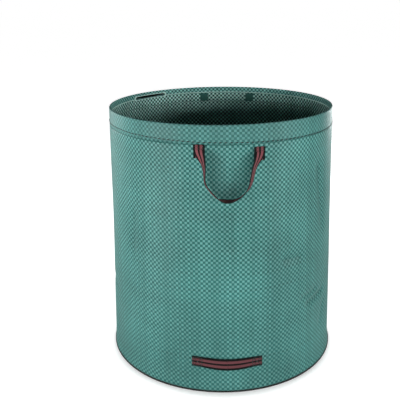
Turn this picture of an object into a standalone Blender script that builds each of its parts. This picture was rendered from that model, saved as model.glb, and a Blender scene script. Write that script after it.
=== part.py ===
"""A round garden leaf bag of woven cloth that stands open by itself.

The cloth wall is a tube, a little wider at the floor than at the rim. Its top edge is folded inwards
into a hem, and the fold is a tunnel for a flat plastic hoop that keeps the mouth round. Webbing loops
at the front and the rear carry the bag, and a short strap low on the front tips it out.

Metres, +Z up. The origin is the middle of the base's underside, and the front faces -Y. Azimuths are
angles about Z, counted from the front towards +X.
"""

import math

import bmesh
import bpy
from mathutils import Matrix, Vector

# The whole bag
BAG_HEIGHT = 0.760
RIM_RADIUS = 0.335
BASE_RADIUS = 0.345
ROUND_STEPS = 96

# Cloth, and the gaps left where pieces are sewn or fitted together
CLOTH = 0.0008
SEWN_GAP = 0.0003
CUT_OVERRUN = 0.010
MERGE_DISTANCE = 0.00001
SHARP_ANGLE = math.radians(30)

# The plastic hoop, and the sleeve that joins its two ends
HOOP_THICKNESS = 0.0020
HOOP_WIDTH = 0.014
HOOP_END_GAP = 0.0010
HOOP_CLEARANCE = 0.0003
JOINER_LENGTH = 0.070
JOINER_WALL = 0.0008
JOINER_CORNER = 0.0005
ARC_SEGMENTS = 3

# The top hem, and the slot in its inner layer that the hoop is fed through
HEM_DEPTH = 0.051
TUCK_RISE = 0.0016
SLOT_HEIGHT = 0.0065
SLOT_LENGTH = 0.138
SLOT_AZIMUTH = math.radians(-133)
SLOT_ROUNDING_SHARE = 0.48

# The seam that closes the wall, the base and the tape round its edge
SEAM_WIDTH = 0.012
SEAM_AZIMUTH = math.radians(147)
BINDING_WIDTH = 0.004
BINDING_THICKNESS = 0.0012

# Webbing of the three handles
WEBBING_WIDTH = 0.030
WEBBING_THICKNESS = 0.0016

# Carrying loops at the front and the rear
HANDLE_AZIMUTH = math.radians(4)
HANDLE_WIDTH = 0.162
HANDLE_BELOW_HEM = 0.008
HANDLE_FOOT = 0.037
LOOP_LAP = 0.013
LOOP_DROP = 0.136
LOOP_STANDOFF = 0.0035
LOOP_TWIST_DROP = 0.075
LOOP_SECTIONS = 35
LOOP_SIDE_POWER = 0.85
LOOP_DROP_POWER = 1.33
PATCH_SIZE = 0.028
PATCH_BELOW_TUNNEL = 0.0015
PATCH_SEGMENTS = 4

# Tipping strap low on the front
DUMP_AZIMUTH = math.radians(2.7)
DUMP_HEIGHT = 0.091
DUMP_LENGTH = 0.195
DUMP_FOOT = 0.030
DUMP_BULGE = 0.008
DUMP_SECTIONS = 17
DUMP_FOOT_SECTIONS = 5

# Heights and radii that follow from the sizes above
HEM_BOTTOM = BAG_HEIGHT - HEM_DEPTH
WALL_TOP = HEM_BOTTOM - SEWN_GAP
JOINER_CLADDING = HOOP_CLEARANCE + JOINER_WALL
TUNNEL_WIDTH = HOOP_THICKNESS + 2 * (JOINER_CLADDING + HOOP_CLEARANCE)
TUNNEL_RADIUS = RIM_RADIUS - CLOTH - TUNNEL_WIDTH / 2
TUNNEL_TOP = BAG_HEIGHT - CLOTH
HOOP_TOP = TUNNEL_TOP - HOOP_CLEARANCE - JOINER_CLADDING
HOOP_BOTTOM = HOOP_TOP - HOOP_WIDTH
TUNNEL_BOTTOM = HOOP_BOTTOM - JOINER_CLADDING - HOOP_CLEARANCE
TUCK_LINE = TUNNEL_BOTTOM - CLOTH - TUCK_RISE
BINDING_TOP = SEWN_GAP + BINDING_WIDTH
FOOT_TOP = HEM_BOTTOM - HANDLE_BELOW_HEM
FOOT_BOTTOM = FOOT_TOP - HANDLE_FOOT
FOOT_ANGLE = HANDLE_WIDTH / 2 / RIM_RADIUS
LOOP_TOP = FOOT_TOP - LOOP_LAP
OVER_FOOT = 2 * SEWN_GAP + WEBBING_THICKNESS


def radius_at(height):
    """The cloth's outer radius at a height: it tapers up to the hoop's tunnel, which stands upright."""
    return BASE_RADIUS + (RIM_RADIUS - BASE_RADIUS) * min(height / TUCK_LINE, 1.0)


def outward(angle):
    """The direction away from the bag's axis, at an azimuth."""
    return Vector((math.sin(angle), -math.cos(angle), 0.0))


def along(angle):
    """The direction round the bag, at an azimuth."""
    return Vector((math.cos(angle), math.sin(angle), 0.0))


def wall_point(angle, height, offset):
    """A point that lies offset outside the wall's outer face."""
    return outward(angle) * (radius_at(height) + offset) + Vector((0.0, 0.0, height))


def new_collection(name):
    collection = bpy.data.collections.new(name)
    bpy.context.scene.collection.children.link(collection)
    return collection


def new_material(name, colour, roughness, metallic=0.0):
    material = bpy.data.materials.new(name)
    material.use_nodes = True
    shader = material.node_tree.nodes["Principled BSDF"]
    shader.inputs["Base Color"].default_value = (*colour, 1.0)
    shader.inputs["Roughness"].default_value = roughness
    shader.inputs["Metallic"].default_value = metallic
    return material


def new_object(name, mesh, collection, material=None, parent=None, turn=0.0):
    obj = bpy.data.objects.new(name, mesh)
    obj.rotation_euler.z = turn
    obj.parent = parent
    collection.objects.link(obj)
    if material:
        mesh.materials.append(material)
    return obj


def new_empty(name, location, turn, parent, collection):
    empty = bpy.data.objects.new(name, None)
    empty.empty_display_size = WEBBING_WIDTH
    empty.location = location
    empty.rotation_euler.z = turn
    empty.parent = parent
    collection.objects.link(empty)
    return empty


def hide_cutter(cutter):
    cutter.hide_render = True
    cutter.display_type = "WIRE"


def turned(name, profile, collection, material=None, parent=None):
    """A ring turned about Z. Its profile of (radius, height) points is closed and runs down the outer side first."""
    mesh = bpy.data.meshes.new(name)
    points = [(radius, 0.0, height) for radius, height in profile]
    edges = [(i, (i + 1) % len(profile)) for i in range(len(profile))]
    mesh.from_pydata(points, edges, [])
    ring = new_object(name, mesh, collection, material, parent)
    screw = ring.modifiers.new("turn", "SCREW")
    screw.steps = screw.render_steps = ROUND_STEPS
    screw.use_merge_vertices = True
    screw.merge_threshold = MERGE_DISTANCE
    return ring


def box_profile(inner, outer, bottom, top):
    return [(outer, top), (outer, bottom), (inner, bottom), (inner, top)]


def arc(centre, radius, start, end):
    """Points of a profile from one angle to another about a centre."""
    angles = [start + (end - start) * i / ARC_SEGMENTS for i in range(ARC_SEGMENTS + 1)]
    return [(centre[0] + radius * math.cos(a), centre[1] + radius * math.sin(a)) for a in angles]


def rounded_profile(middle, width, bottom, top, radius):
    """A closed upright strip's section with all four edges rounded."""
    inner, outer = middle - width / 2 + radius, middle + width / 2 - radius
    low, high = bottom + radius, top - radius
    quarter = math.pi / 2
    return (
        arc((outer, high), radius, quarter, 0.0)
        + arc((outer, low), radius, 0.0, -quarter)
        + arc((inner, low), radius, -quarter, -2 * quarter)
        + arc((inner, high), radius, 2 * quarter, quarter)
    )


def block(name, size, middle, turn, rounding, collection):
    """A box to cut or trim with, and with rounding the edges along its second side are rounded."""
    shape = bmesh.new()
    bmesh.ops.create_cube(shape, size=1.0)
    bmesh.ops.scale(shape, vec=size, verts=shape.verts)
    if rounding:
        deep = [edge for edge in shape.edges if abs((edge.verts[0].co - edge.verts[1].co).y) > rounding]
        bmesh.ops.bevel(shape, geom=deep, offset=rounding, segments=2 * ARC_SEGMENTS, profile=0.5, affect="EDGES")
    mesh = bpy.data.meshes.new(name)
    shape.to_mesh(mesh)
    shape.free()
    obj = new_object(name, mesh, collection, turn=turn)
    obj.location = middle
    hide_cutter(obj)
    return obj


def boolean(obj, operation, other):
    modifier = obj.modifiers.new(operation.lower(), "BOOLEAN")
    modifier.operation = operation
    modifier.solver = "EXACT"
    modifier.object = other


def settle_shading(obj):
    """Keeps what the modifiers made, shaded smooth with its corners sharp."""
    graph = bpy.context.evaluated_depsgraph_get()
    mesh = bpy.data.meshes.new_from_object(obj.evaluated_get(graph))
    mesh.name = obj.name
    obj.modifiers.clear()
    obj.data = mesh
    mesh.shade_smooth()
    mesh.set_sharp_from_angle(angle=SHARP_ANGLE)


def lofted(name, sections, collection, material, parent, turn=0.0, origin=Vector()):
    """A strap through its cross-sections, each a middle and two half vectors: across and through the strap."""
    shape = bmesh.new()
    rings = []
    for middle, across, through in sections:
        signs = ((1, 1), (-1, 1), (-1, -1), (1, -1))
        corners = [middle + a * across + t * through - origin for a, t in signs]
        rings.append([shape.verts.new(corner) for corner in corners])
    for first, second in zip(rings, rings[1:]):
        for i, j in ((0, 1), (1, 2), (2, 3), (3, 0)):
            shape.faces.new((first[i], first[j], second[j], second[i]))
    shape.faces.new(rings[0])
    shape.faces.new(rings[-1])
    bmesh.ops.recalc_face_normals(shape, faces=shape.faces)
    mesh = bpy.data.meshes.new(name)
    shape.to_mesh(mesh)
    shape.free()
    mesh.shade_smooth()
    mesh.set_sharp_from_angle(angle=SHARP_ANGLE)
    return new_object(name, mesh, collection, material, parent, turn)


def make_side_wall(bag, cutters, cloth):
    """The cloth tube, with the doubled band of the seam that closes it standing out at the rear."""
    profile = [
        (radius_at(WALL_TOP), WALL_TOP),
        (BASE_RADIUS, 0.0),
        (BASE_RADIUS - CLOTH, 0.0),
        (radius_at(WALL_TOP) - CLOTH, WALL_TOP),
    ]
    wall = turned("side_wall", profile, bag, cloth)
    seam_bottom = BINDING_TOP + CLOTH
    seam_top = WALL_TOP - CLOTH
    seam_profile = [
        (radius_at(seam_top) + CLOTH, seam_top),
        (radius_at(seam_bottom) + CLOTH, seam_bottom),
        (radius_at(seam_bottom) - CLOTH / 2, seam_bottom),
        (radius_at(seam_top) - CLOTH / 2, seam_top),
    ]
    seam = turned("side_seam_band", seam_profile, cutters)
    size = (SEAM_WIDTH, BASE_RADIUS, 2 * BAG_HEIGHT)
    keep = block("side_seam_keep", size, outward(SEAM_AZIMUTH) * BASE_RADIUS, SEAM_AZIMUTH, 0.0, cutters)
    boolean(seam, "INTERSECT", keep)
    hide_cutter(seam)
    boolean(wall, "UNION", seam)
    return wall


def make_top_hem(bag, cutters, cloth, parent):
    """The wall's top edge folded over the hoop, with its tunnel and the slot in the inner layer."""
    fold = CLOTH + HOOP_CLEARANCE + JOINER_CORNER
    inner = RIM_RADIUS - 2 * CLOTH - TUNNEL_WIDTH
    quarter = math.pi / 2
    profile = (
        arc((RIM_RADIUS - fold, BAG_HEIGHT - fold), fold, quarter, 0.0)
        + [
            (RIM_RADIUS, TUCK_LINE),
            (radius_at(HEM_BOTTOM), HEM_BOTTOM),
            (radius_at(HEM_BOTTOM) - 2 * CLOTH, HEM_BOTTOM),
            (RIM_RADIUS - 2 * CLOTH, TUCK_LINE),
            (inner, TUCK_LINE + TUCK_RISE),
        ]
        + arc((inner + fold, BAG_HEIGHT - fold), fold, 2 * quarter, quarter)
    )
    hem = turned("top_hem", profile, bag, cloth, parent)
    corner = HOOP_CLEARANCE + JOINER_CORNER
    tunnel_profile = rounded_profile(TUNNEL_RADIUS, TUNNEL_WIDTH, TUNNEL_BOTTOM, TUNNEL_TOP, corner)
    tunnel = turned("hem_tunnel", tunnel_profile, cutters)
    hide_cutter(tunnel)
    skin = box_profile(inner - CUT_OVERRUN, TUNNEL_RADIUS, TUCK_LINE - CUT_OVERRUN, BAG_HEIGHT)
    slot = turned("hem_slot", skin, cutters)
    hide_cutter(slot)
    size = (SLOT_LENGTH, CUT_OVERRUN + RIM_RADIUS / 2, SLOT_HEIGHT)
    middle = outward(SLOT_AZIMUTH) * RIM_RADIUS + Vector((0.0, 0.0, TUCK_LINE + SLOT_HEIGHT / 2))
    rounding = SLOT_HEIGHT * SLOT_ROUNDING_SHARE
    outline = block("hem_slot_outline", size, middle, SLOT_AZIMUTH, rounding, cutters)
    boolean(slot, "INTERSECT", outline)
    boolean(hem, "DIFFERENCE", tunnel)
    boolean(hem, "DIFFERENCE", slot)
    return hem


def make_hoop(bag, cutters, plastic, parent):
    """The flat hoop that holds the mouth open, cut once where its ends meet."""
    profile = rounded_profile(TUNNEL_RADIUS, HOOP_THICKNESS, HOOP_BOTTOM, HOOP_TOP, JOINER_CORNER)
    hoop = turned("support_hoop", profile, bag, plastic, parent)
    middle = outward(SLOT_AZIMUTH) * TUNNEL_RADIUS + Vector((0.0, 0.0, BAG_HEIGHT))
    size = (HOOP_END_GAP, 2 * CUT_OVERRUN, 2 * HEM_DEPTH)
    boolean(hoop, "DIFFERENCE", block("hoop_end_gap", size, middle, SLOT_AZIMUTH, 0.0, cutters))
    return hoop


def make_hoop_joiner(bag, cutters, plastic, parent):
    """The sleeve that holds the hoop's two ends together, behind the slot."""
    width = HOOP_THICKNESS + 2 * JOINER_CLADDING
    bottom, top = HOOP_BOTTOM - JOINER_CLADDING, HOOP_TOP + JOINER_CLADDING
    profile = rounded_profile(TUNNEL_RADIUS, width, bottom, top, JOINER_CORNER)
    joiner = turned("hoop_joiner", profile, bag, plastic, parent)
    middle = outward(SLOT_AZIMUTH) * TUNNEL_RADIUS + Vector((0.0, 0.0, BAG_HEIGHT))
    size = (JOINER_LENGTH, RIM_RADIUS / 2, 2 * HEM_DEPTH)
    boolean(joiner, "INTERSECT", block("hoop_joiner_keep", size, middle, SLOT_AZIMUTH, 0.0, cutters))
    wide = HOOP_THICKNESS / 2 + HOOP_CLEARANCE
    low, high = HOOP_BOTTOM - HOOP_CLEARANCE, HOOP_TOP + HOOP_CLEARANCE
    bore = turned("hoop_joiner_bore", box_profile(TUNNEL_RADIUS - wide, TUNNEL_RADIUS + wide, low, high), cutters)
    hide_cutter(bore)
    boolean(joiner, "DIFFERENCE", bore)
    return joiner


def make_base_panel(bag, cloth):
    """The round cloth floor of the bag."""
    shape = bmesh.new()
    radius = BASE_RADIUS - CLOTH - SEWN_GAP
    bmesh.ops.create_cone(
        shape, cap_ends=True, segments=ROUND_STEPS, radius1=radius, radius2=radius, depth=CLOTH
    )
    bmesh.ops.translate(shape, vec=(0.0, 0.0, CLOTH / 2), verts=shape.verts)
    mesh = bpy.data.meshes.new("base_panel")
    shape.to_mesh(mesh)
    shape.free()
    return new_object("base_panel", mesh, bag, cloth)


def make_base_binding(bag, tape):
    """The dark tape sewn round the foot of the wall, just clear of the ground."""
    inner = BASE_RADIUS + SEWN_GAP
    profile = box_profile(inner, inner + BINDING_THICKNESS, SEWN_GAP, BINDING_TOP)
    return turned("base_binding", profile, bag, tape)


def loop_place(turn):
    """Where a carrying loop's middle line is, round the wall and down it, for a turn from 0 to a half circle."""
    side = math.copysign(abs(math.cos(turn)) ** LOOP_SIDE_POWER, math.cos(turn))
    return FOOT_ANGLE * side, LOOP_DROP * abs(math.sin(turn)) ** LOOP_DROP_POWER


def loop_sections():
    """Sections of a carrying loop: flat over its sewn ends, then turning edge-on to the wall on its way down."""
    places = []
    for i in range(LOOP_SECTIONS):
        angle, drop = loop_place(math.pi * i / (LOOP_SECTIONS - 1))
        ease = math.sin(math.pi / 2 * min(drop / LOOP_TWIST_DROP, 1.0))
        twist = math.pi / 2 * ease
        offset = OVER_FOOT + (LOOP_STANDOFF - OVER_FOOT) * ease
        offset += WEBBING_WIDTH / 2 * math.sin(twist) + WEBBING_THICKNESS / 2 * math.cos(twist)
        places.append((angle, twist, wall_point(angle, LOOP_TOP - drop, offset)))
    sections = []
    for i, (angle, twist, middle) in enumerate(places):
        path = places[min(i + 1, LOOP_SECTIONS - 1)][2] - places[max(i - 1, 0)][2]
        if i in (0, LOOP_SECTIONS - 1):
            path = Vector((0.0, 0.0, path.z))
        path.normalize()
        flat = path.cross(outward(angle)).normalized()
        across = flat * math.cos(twist) + outward(angle) * math.sin(twist)
        through = path.cross(across).normalized()
        sections.append((middle, across * WEBBING_WIDTH / 2, through * WEBBING_THICKNESS / 2))
    return sections


def loop_pivot():
    """Where the loops hinge: on the line along the foremost corners of their upper ends."""
    reach = (radius_at(LOOP_TOP) + OVER_FOOT + WEBBING_THICKNESS) * math.cos(FOOT_ANGLE)
    reach += WEBBING_WIDTH / 2 * math.sin(FOOT_ANGLE)
    return Vector((0.0, -reach, LOOP_TOP))


def make_carry_handle(side, turn, bag, webbing, thread_patch, parent):
    """One carrying loop, its two sewn ends, and the patches of the ends' stitching inside the hem."""
    offset = SEWN_GAP + WEBBING_THICKNESS / 2
    for end, angle in (("left", -FOOT_ANGLE), ("right", FOOT_ANGLE)):
        across = along(angle) * WEBBING_WIDTH / 2
        through = outward(angle) * WEBBING_THICKNESS / 2
        sections = [(wall_point(angle, height, offset), across, through) for height in (FOOT_TOP, FOOT_BOTTOM)]
        lofted(f"{side}_handle_{end}_end", sections, bag, webbing, parent, turn)
        patch_top = TUCK_LINE - PATCH_BELOW_TUNNEL
        height = patch_top - PATCH_SIZE / 2
        inset = -2 * CLOTH - SEWN_GAP - CLOTH / 2
        lean = radius_at(patch_top) - radius_at(height)
        upright = Vector((0.0, 0.0, PATCH_SIZE / 2))
        sections = []
        for i in range(PATCH_SEGMENTS + 1):
            place = angle + (i / PATCH_SEGMENTS - 1 / 2) * PATCH_SIZE / RIM_RADIUS
            middle = wall_point(place, height, inset)
            sections.append((middle, upright + outward(place) * lean, outward(place) * CLOTH / 2))
        lofted(f"{side}_{end}_hem_patch", sections, bag, thread_patch, parent, turn)
    pivot = loop_pivot()
    place = Matrix.Rotation(turn, 3, "Z") @ pivot
    empty = new_empty(f"{side}_handle_pivot", place, turn, parent, bag)
    lofted(f"{side}_handle_loop", loop_sections(), bag, webbing, empty, origin=pivot)


def dump_section(place):
    """The tipping strap's section at a distance from its middle, where it bows out from the wall."""
    free = DUMP_LENGTH / 2 - DUMP_FOOT
    slack = math.cos(math.pi / 2 * min(abs(place) / free, 1.0)) ** 2
    edges = (DUMP_HEIGHT - WEBBING_WIDTH / 2, DUMP_HEIGHT + WEBBING_WIDTH / 2)
    front = math.sqrt(max(radius_at(edge) for edge in edges) ** 2 - place**2)
    reach = front + SEWN_GAP + WEBBING_THICKNESS / 2 + DUMP_BULGE * slack
    middle = Vector((place, -reach, DUMP_HEIGHT))
    return middle, Vector((0.0, 0.0, WEBBING_WIDTH / 2)), Vector((0.0, -WEBBING_THICKNESS / 2, 0.0))


def make_dump_handle(bag, webbing):
    """The strap low on the front that the bag is tipped out by: a grip between two sewn ends."""
    half = DUMP_LENGTH / 2
    free = half - DUMP_FOOT
    for end, sign in (("left", -1), ("right", 1)):
        start = free + SEWN_GAP
        steps = [start + (half - start) * i / (DUMP_FOOT_SECTIONS - 1) for i in range(DUMP_FOOT_SECTIONS)]
        sections = [dump_section(sign * step) for step in steps]
        lofted(f"dump_handle_{end}_end", sections, bag, webbing, None, DUMP_AZIMUTH)
    outer_face = dump_section(free)[0].y - WEBBING_THICKNESS / 2
    pivot = Vector((0.0, outer_face, DUMP_HEIGHT + WEBBING_WIDTH / 2))
    empty = new_empty(
        "dump_handle_pivot", Matrix.Rotation(DUMP_AZIMUTH, 3, "Z") @ pivot, DUMP_AZIMUTH, None, bag
    )
    steps = [free * (2 * i / (DUMP_SECTIONS - 1) - 1) for i in range(DUMP_SECTIONS)]
    lofted("dump_handle_grip", [dump_section(step) for step in steps], bag, webbing, empty, origin=pivot)


def main():
    for obj in list(bpy.data.objects):
        bpy.data.objects.remove(obj, do_unlink=True)
    bag = new_collection("leaf_bag")
    cutters = new_collection("cutters")
    cloth = new_material("woven_cloth", (0.16, 0.36, 0.33), 0.6)
    plastic = new_material("hoop_plastic", (0.02, 0.02, 0.02), 0.5)
    webbing = new_material("striped_webbing", (0.12, 0.03, 0.03), 0.8)
    tape = new_material("binding_tape", (0.02, 0.03, 0.03), 0.8)
    patch = new_material("stitched_patch", (0.02, 0.07, 0.06), 0.8)

    rim = new_empty("rim_slide", Vector(), 0.0, None, bag)
    wall = make_side_wall(bag, cutters, cloth)
    hem = make_top_hem(bag, cutters, cloth, rim)
    hoop = make_hoop(bag, cutters, plastic, rim)
    joiner = make_hoop_joiner(bag, cutters, plastic, rim)
    make_base_panel(bag, cloth)
    binding = make_base_binding(bag, tape)
    make_carry_handle("front", HANDLE_AZIMUTH, bag, webbing, patch, rim)
    make_carry_handle("rear", math.pi - HANDLE_AZIMUTH, bag, webbing, patch, rim)
    make_dump_handle(bag, webbing)
    for piece in (wall, hem, hoop, joiner, binding):
        settle_shading(piece)


main()
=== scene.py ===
"""A round garden leaf bag of woven cloth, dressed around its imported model.

Metres, +Z up, the front faces -Y. Azimuths are counted about Z from the front towards +X.
"""

import math

import bmesh
import bpy
from mathutils import Matrix, Vector


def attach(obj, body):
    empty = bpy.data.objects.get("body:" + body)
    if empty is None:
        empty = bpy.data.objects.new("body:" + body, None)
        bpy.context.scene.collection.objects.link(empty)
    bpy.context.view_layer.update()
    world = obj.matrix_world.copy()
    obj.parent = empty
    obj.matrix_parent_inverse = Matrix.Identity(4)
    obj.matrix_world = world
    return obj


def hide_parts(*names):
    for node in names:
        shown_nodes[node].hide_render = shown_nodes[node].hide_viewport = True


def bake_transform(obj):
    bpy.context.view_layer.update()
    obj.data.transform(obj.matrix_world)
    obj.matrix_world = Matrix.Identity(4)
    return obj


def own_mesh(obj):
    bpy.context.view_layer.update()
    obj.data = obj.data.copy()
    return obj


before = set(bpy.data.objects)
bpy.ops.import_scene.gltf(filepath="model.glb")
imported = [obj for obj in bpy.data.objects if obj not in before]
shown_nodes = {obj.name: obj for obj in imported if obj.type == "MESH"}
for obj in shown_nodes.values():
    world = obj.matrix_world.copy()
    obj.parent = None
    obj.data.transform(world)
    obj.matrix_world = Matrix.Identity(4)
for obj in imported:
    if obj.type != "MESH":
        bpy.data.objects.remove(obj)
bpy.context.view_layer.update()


# Camera: 1.1 m above the floor and a little under two metres in front of the bag, with a fairly long lens.
# It looks down slightly, and is turned and tipped by the small angles that the photograph shows.
CAMERA_PLACE = (0.0, -1.950, 1.096)
DOWN, YAW, ROLL = math.radians(13.40), math.radians(-1.85), math.radians(-0.73)
camera_data = bpy.data.cameras.new("camera")
camera_data.sensor_width = 36.0
camera_data.lens = 58.47
camera_data.shift_y = -0.14
camera = bpy.data.objects.new("camera", camera_data)
bpy.context.scene.collection.objects.link(camera)
looking = Vector((math.sin(YAW) * math.cos(DOWN), math.cos(YAW) * math.cos(DOWN), -math.sin(DOWN)))
level = Vector((math.cos(YAW), -math.sin(YAW), 0.0))
right_side = math.cos(ROLL) * level + math.sin(ROLL) * level.cross(looking)
axes = Matrix((right_side, right_side.cross(looking), -looking))
camera.matrix_world = Matrix.Translation(CAMERA_PLACE) @ axes.transposed().to_4x4()
bpy.context.scene.camera = camera
bpy.context.scene.view_settings.view_transform = "Standard"


# Studio: a round of white paper, faint light from near the horizon on all sides, and seven soft boxes.
# Most boxes stand low and light the cloth from the sides and from behind, so the mouth is dark inside.
def colour(code):
    """A shader's linear colour, from an sRGB hex code."""
    shares = [int(code[i : i + 2], 16) / 255 for i in (1, 3, 5)]
    return [s / 12.92 if s <= 0.04045 else ((s + 0.055) / 1.055) ** 2.4 for s in shares] + [1.0]


def add_node(tree, kind, values=None, **settings):
    """Adds a shader node. A value is an input's number or colour, or the node or output it links to."""
    node = tree.nodes.new("ShaderNode" + kind)
    for name, setting in settings.items():
        setattr(node, name, setting)
    for name, value in (values or {}).items():
        if isinstance(value, bpy.types.Node):
            value = value.outputs[0]
        if isinstance(value, bpy.types.NodeSocket):
            tree.links.new(value, node.inputs[name])
        else:
            node.inputs[name].default_value = value
    return node


def new_finish(name, even):
    """A new material with the shader's values that are even all over it, its node tree and its shader."""
    material = bpy.data.materials.new(name)
    material.use_nodes = True
    shader = material.node_tree.nodes["Principled BSDF"]
    for socket, value in even.items():
        shader.inputs[socket].default_value = value
    return material, material.node_tree, shader


FLOOR_RADIUS = 30.0
floor_mesh = bpy.data.meshes.new("floor")
floor_shape = bmesh.new()
bmesh.ops.create_circle(floor_shape, cap_ends=True, segments=64, radius=FLOOR_RADIUS)
floor_shape.to_mesh(floor_mesh)
floor_shape.free()
floor = bpy.data.objects.new("floor", floor_mesh)
bpy.context.scene.collection.objects.link(floor)

# Studio paper is matt and almost white. Its glow is for the camera alone, which sees it as pure white.
# The glow is weaker close round the bag's foot, which paints a darker ring there, a painted shadow, and
# lets the bag's own shadow show too.
MATT = {"Roughness": 1.0, "Specular IOR Level": 0.0}
WHITE = {"Base Color": colour("#E6E6E6"), "Emission Color": colour("#FFFFFF")}
paper, tree, shader = new_finish("white_studio_paper", {**MATT, **WHITE})
FOOT_MIDDLE = (0.0, -0.02, 0.0)
place = add_node(tree, "TexCoord")
from_bag = {0: place.outputs["Object"], 1: FOOT_MIDDLE}
from_bag = add_node(tree, "VectorMath", from_bag, operation="DISTANCE").outputs["Value"]
near = {"Value": from_bag, "From Min": 0.325, "From Max": 0.364, "To Min": 0.26, "To Max": 0.78}
near = add_node(tree, "MapRange", near, interpolation_type="SMOOTHSTEP")
far = {"Value": from_bag, "From Min": 0.38, "From Max": 0.90, "To Min": 0.0, "To Max": 0.20}
far = add_node(tree, "MapRange", far)
glow = add_node(tree, "Math", {0: near, 1: far}, operation="ADD")
seen = add_node(tree, "LightPath").outputs["Is Camera Ray"]
glow = add_node(tree, "Math", {0: seen, 1: glow}, operation="MULTIPLY")
tree.links.new(glow.outputs[0], shader.inputs["Emission Strength"])
floor_mesh.materials.append(paper)

# The backdrop lights the bag from near the horizon, fades overhead, and is pure white to the camera.
world = bpy.data.worlds.new("studio")
bpy.context.scene.world = world
world.use_nodes = True
tree = world.node_tree
background = tree.nodes["Background"]
background.inputs["Color"].default_value = colour("#FFFFFF")
direction = add_node(tree, "TexCoord")
direction = add_node(tree, "SeparateXYZ", {0: direction.outputs["Generated"]})
slope = direction.outputs["Z"]
backdrop = {"Value": slope, "From Min": -0.05, "From Max": 0.26, "To Min": 0.24, "To Max": 0.02}
backdrop = add_node(tree, "MapRange", backdrop, interpolation_type="SMOOTHSTEP")
seen = add_node(tree, "LightPath").outputs["Is Camera Ray"]
backdrop = add_node(tree, "Mix", {0: seen, 2: backdrop, 3: 1.0}, data_type="FLOAT")
tree.links.new(backdrop.outputs[0], background.inputs["Strength"])

# Each soft box: its name, its place, its width and height, and its power in watts
BOXES_AIM = Vector((0.0, 0.0, 0.42))
for name, place, size, power in (
    ("left_soft_box", (-2.1, -1.5, 0.59), (0.6, 0.85), 40.5),
    ("right_soft_box", (2.3, -1.4, 0.68), (0.9, 0.85), 16.0),
    ("right_high_box", (2.35, -1.35, 1.05), (1.0, 0.36), 22.5),
    ("front_soft_box", (0.25, -3.1, 0.95), (1.3, 0.40), 30.5),
    ("left_rear_box", (-2.3, 1.45, 0.72), (0.9, 0.6), 24.0),
    ("right_rear_box", (1.7, 2.3, 0.50), (0.9, 0.7), 22.0),
    ("top_rear_box", (0.2, 1.5, 2.3), (1.6, 0.5), 8.0),
):
    lamp_data = bpy.data.lights.new(name, "AREA")
    lamp_data.shape = "RECTANGLE"
    lamp_data.size, lamp_data.size_y = size
    lamp_data.energy = power
    lamp = bpy.data.objects.new(name, lamp_data)
    bpy.context.scene.collection.objects.link(lamp)
    lamp.location = place
    lamp.rotation_euler = (BOXES_AIM - Vector(place)).to_track_quat("-Z", "Y").to_euler()


# Side wall: one length of light polyethylene cloth, woven from flat green tapes and closed by a seam.
# It is a little wider at the floor than at the rim, and keeps faint creases from having been folded flat.
BASE_RADIUS, RIM_RADIUS, TAPER_TOP = 0.345, 0.335, 0.740
WALL_TOP = 0.7087
CLOTH_THICKNESS = 0.0006
CLOTH_STEPS, WALL_ROWS = 288, 130
TAPES_ROUND = 302
TAPE_PITCH = 0.0068
WEAVE_MAP = "weave"
CREASE_SHADE_MARK = "fold"
CELL_FLATNESS, DRAWN_LINES, PATCHES_PER_METRE, WEAVE_RELIEF = 0.42, 7.0, 5.0, 0.0007


def radius_at(height):
    """The wall's outer radius at a height."""
    return BASE_RADIUS + (RIM_RADIUS - BASE_RADIUS) * min(height / TAPER_TOP, 1.0)


def outward(azimuth):
    """The level direction out of the bag."""
    return Vector((math.sin(azimuth), -math.cos(azimuth), 0.0))


def along(azimuth):
    """The level direction round the bag."""
    return Vector((math.cos(azimuth), math.sin(azimuth), 0.0))


def azimuth_of(place):
    """How far round the bag a place is."""
    return math.atan2(place.x, -place.y)


def wrapped(turn):
    """The same turn, within half a round either way."""
    return (turn + math.pi) % (2 * math.pi) - math.pi


def wall_point(azimuth, height, offset=0.0):
    """A point that lies offset outside the wall."""
    return outward(azimuth) * (radius_at(height) + offset) + Vector((0.0, 0.0, height))


def smooth(value):
    """An even rise from 0 to 1 that starts and ends gently."""
    value = min(max(value, 0.0), 1.0)
    return value * value * (3.0 - 2.0 * value)


def finish_mesh(name, shape, materials, body=None):
    """Makes a piece of a bmesh, with its materials, and lets it ride on a body."""
    mesh = bpy.data.meshes.new(name)
    shape.to_mesh(mesh)
    shape.free()
    mesh.shade_smooth()
    for material in materials:
        mesh.materials.append(material)
    piece = bpy.data.objects.new(name, mesh)
    bpy.context.scene.collection.objects.link(piece)
    if body:
        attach(piece, body)
    return piece


def thicken(piece, thickness, reverse=0):
    """Gives a sheet its thickness inwards. Reverse is the step from its material to its other side's."""
    sheet = piece.modifiers.new("cloth", "SOLIDIFY")
    sheet.thickness = thickness
    sheet.offset = -1.0
    sheet.material_offset = reverse


def turned_cloth(profile, steps, cells_round=TAPES_ROUND):
    """Spins a profile about Z, and lays the weave's map on it.

    The profile is (radius, height, run) points, with the run in cells of the weave.
    """
    shape = bmesh.new()
    run = shape.verts.layers.float.new("run")
    points = []
    for radius, height, length in profile:
        point = shape.verts.new((0.0, -radius, height))
        point[run] = length
        points.append(point)
    line = points + [shape.edges.new(pair) for pair in zip(points, points[1:])]
    about_z = {"cent": (0.0, 0.0, 0.0), "axis": (0.0, 0.0, 1.0), "angle": 2 * math.pi}
    bmesh.ops.spin(shape, geom=line, steps=steps, use_merge=True, **about_z)
    bmesh.ops.remove_doubles(shape, verts=shape.verts, dist=0.00001)
    weave = shape.loops.layers.uv.new(WEAVE_MAP)
    for face in shape.faces:
        centre = azimuth_of(face.calc_center_median())
        for corner in face.loops:
            turn = wrapped(azimuth_of(corner.vert.co) - centre)
            corner[weave].uv = ((centre + turn) / (2 * math.pi) * cells_round, corner.vert[run])
    return shape


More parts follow.
